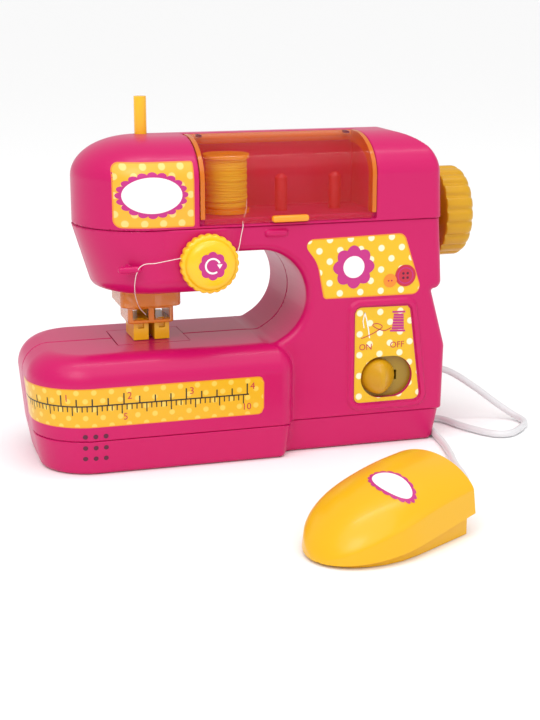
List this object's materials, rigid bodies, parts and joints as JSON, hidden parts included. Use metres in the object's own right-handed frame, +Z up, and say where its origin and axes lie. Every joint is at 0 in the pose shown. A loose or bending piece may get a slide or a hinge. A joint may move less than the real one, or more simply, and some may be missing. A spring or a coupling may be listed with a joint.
{
  "type": "toy sewing machine",
  "caption": "Toy sewing machine with a round throat, hinged spool lid, handwheel, tension dial, presser foot and slide switch, joined by a cord to a wedge foot pedal.",
  "frame": {"origin": "middle of the machine's underside on the floor, on the plane where the two casing halves meet", "axes": "+X towards the handwheel, +Y to the back, +Z up"},
  "size_m": [0.2239, 0.1926, 0.147],
  "materials": {
    "pink_shell": "gloss",
    "dark_pink_shell": "gloss",
    "clear_orange": "clear gloss",
    "orange_plastic": "gloss",
    "yellow_plastic": "gloss",
    "dark_yellow_plastic": "satin",
    "white_plastic": "satin",
    "steel": "satin",
    "dark_plastic": "satin",
    "board": "satin",
    "white_rubber": "matte",
    "yellow_thread": "matte"
  },
  "bodies": {
    "machine": {"base_pan": "dark_pink_shell", "front_casing": "pink_shell", "rear_casing": "pink_shell", "top_cover": "pink_shell", "thread_pegs": "dark_pink_shell", "lid_pins": "steel", "needle_guard": "clear_orange", "needle_plate": "steel", "bar_guide": "white_plastic", "shaft_bushes": "white_plastic", "gear_frame": "white_plastic", "idler_pin": "steel", "motor": "steel", "battery_door": "dark_pink_shell", "batteries": "dark_plastic", "battery_contacts": "steel", "circuit_board": "board", "speaker": "dark_plastic", "switch_plate": "orange_plastic", "slide_switch": "dark_plastic", "cord_gland": "white_rubber", "cord": "white_rubber", "casing_screws": "steel", "pan_screws": "steel", "pedal_base": "dark_yellow_plastic", "pedal_pin": "steel", "pedal_switch": "dark_plastic", "pedal_gland": "white_rubber"},
    "drive": {"handwheel": "yellow_plastic", "main_shaft": "steel", "drive_gear": "white_plastic", "crank_disc": "white_plastic"},
    "idler": {"idler_gear": "white_plastic"},
    "rotor": {"motor_pinion": "steel"},
    "needle_unit": {"needle_bar": "steel", "needle_yoke": "white_plastic", "needle_clamp": "steel", "needle": "steel"},
    "presser": {"presser_bar": "yellow_plastic", "presser_foot": "yellow_plastic"},
    "lid": {"spool_lid": "clear_orange"},
    "spool": {"thread_spool": "yellow_plastic", "thread_winding": "yellow_thread"},
    "dial": {"tension_dial": "yellow_plastic", "dial_clip": "steel"},
    "switch": {"switch_knob": "yellow_plastic"},
    "pedal": {"pedal_cover": "yellow_plastic"}
  },
  "joints": [
    {"name": "handwheel_turn", "type": "hinge", "parent": "machine", "child": "drive", "pos_m": [0, 0, 0.0955], "axis": [1, 0, 0], "continuous": true},
    {"name": "idler_turn", "type": "hinge", "parent": "machine", "child": "idler", "pos_m": [0, 0, 0.0746], "axis": [1, 0, 0], "continuous": true},
    {"name": "motor_turn", "type": "hinge", "parent": "machine", "child": "rotor", "pos_m": [0, 0, 0.0553], "axis": [1, 0, 0], "continuous": true},
    {"name": "needle_slide", "type": "slide", "parent": "machine", "child": "needle_unit", "axis": [0, 0, 1], "range_m": [-0.009, 0]},
    {"name": "presser_slide", "type": "slide", "parent": "machine", "child": "presser", "axis": [0, 0, 1], "range_m": [0, 0.006]},
    {"name": "lid_hinge", "type": "hinge", "parent": "machine", "child": "lid", "pos_m": [0, -0.001, 0.1296], "axis": [-1, 0, 0], "range_deg": [0, 85]},
    {"name": "spool_turn", "type": "hinge", "parent": "machine", "child": "spool", "pos_m": [-0.003, -0.0115, 0.1007], "axis": [0, 0, 1], "continuous": true},
    {"name": "dial_turn", "type": "hinge", "parent": "machine", "child": "dial", "pos_m": [-0.0156, -0.03, 0.0835], "axis": [0, -1, 0], "range_deg": [-135, 135]},
    {"name": "switch_slide", "type": "slide", "parent": "machine", "child": "switch", "axis": [1, 0, 0], "range_m": [0, 0.0065]},
    {"name": "pedal_press", "type": "hinge", "parent": "machine", "child": "pedal", "pos_m": [-0.00001, -0.1434, 0.0046], "axis": [-0.5, 0.866, 0], "range_deg": [0, 3.8], "stiffness_Nm_per_rad": 1, "springref_deg": -2.86}
  ],
  "couplings": [
    {"joint": "idler_turn", "follows": "handwheel_turn", "ratio": -3.3333},
    {"joint": "motor_turn", "follows": "handwheel_turn", "ratio": 10}
  ]
}
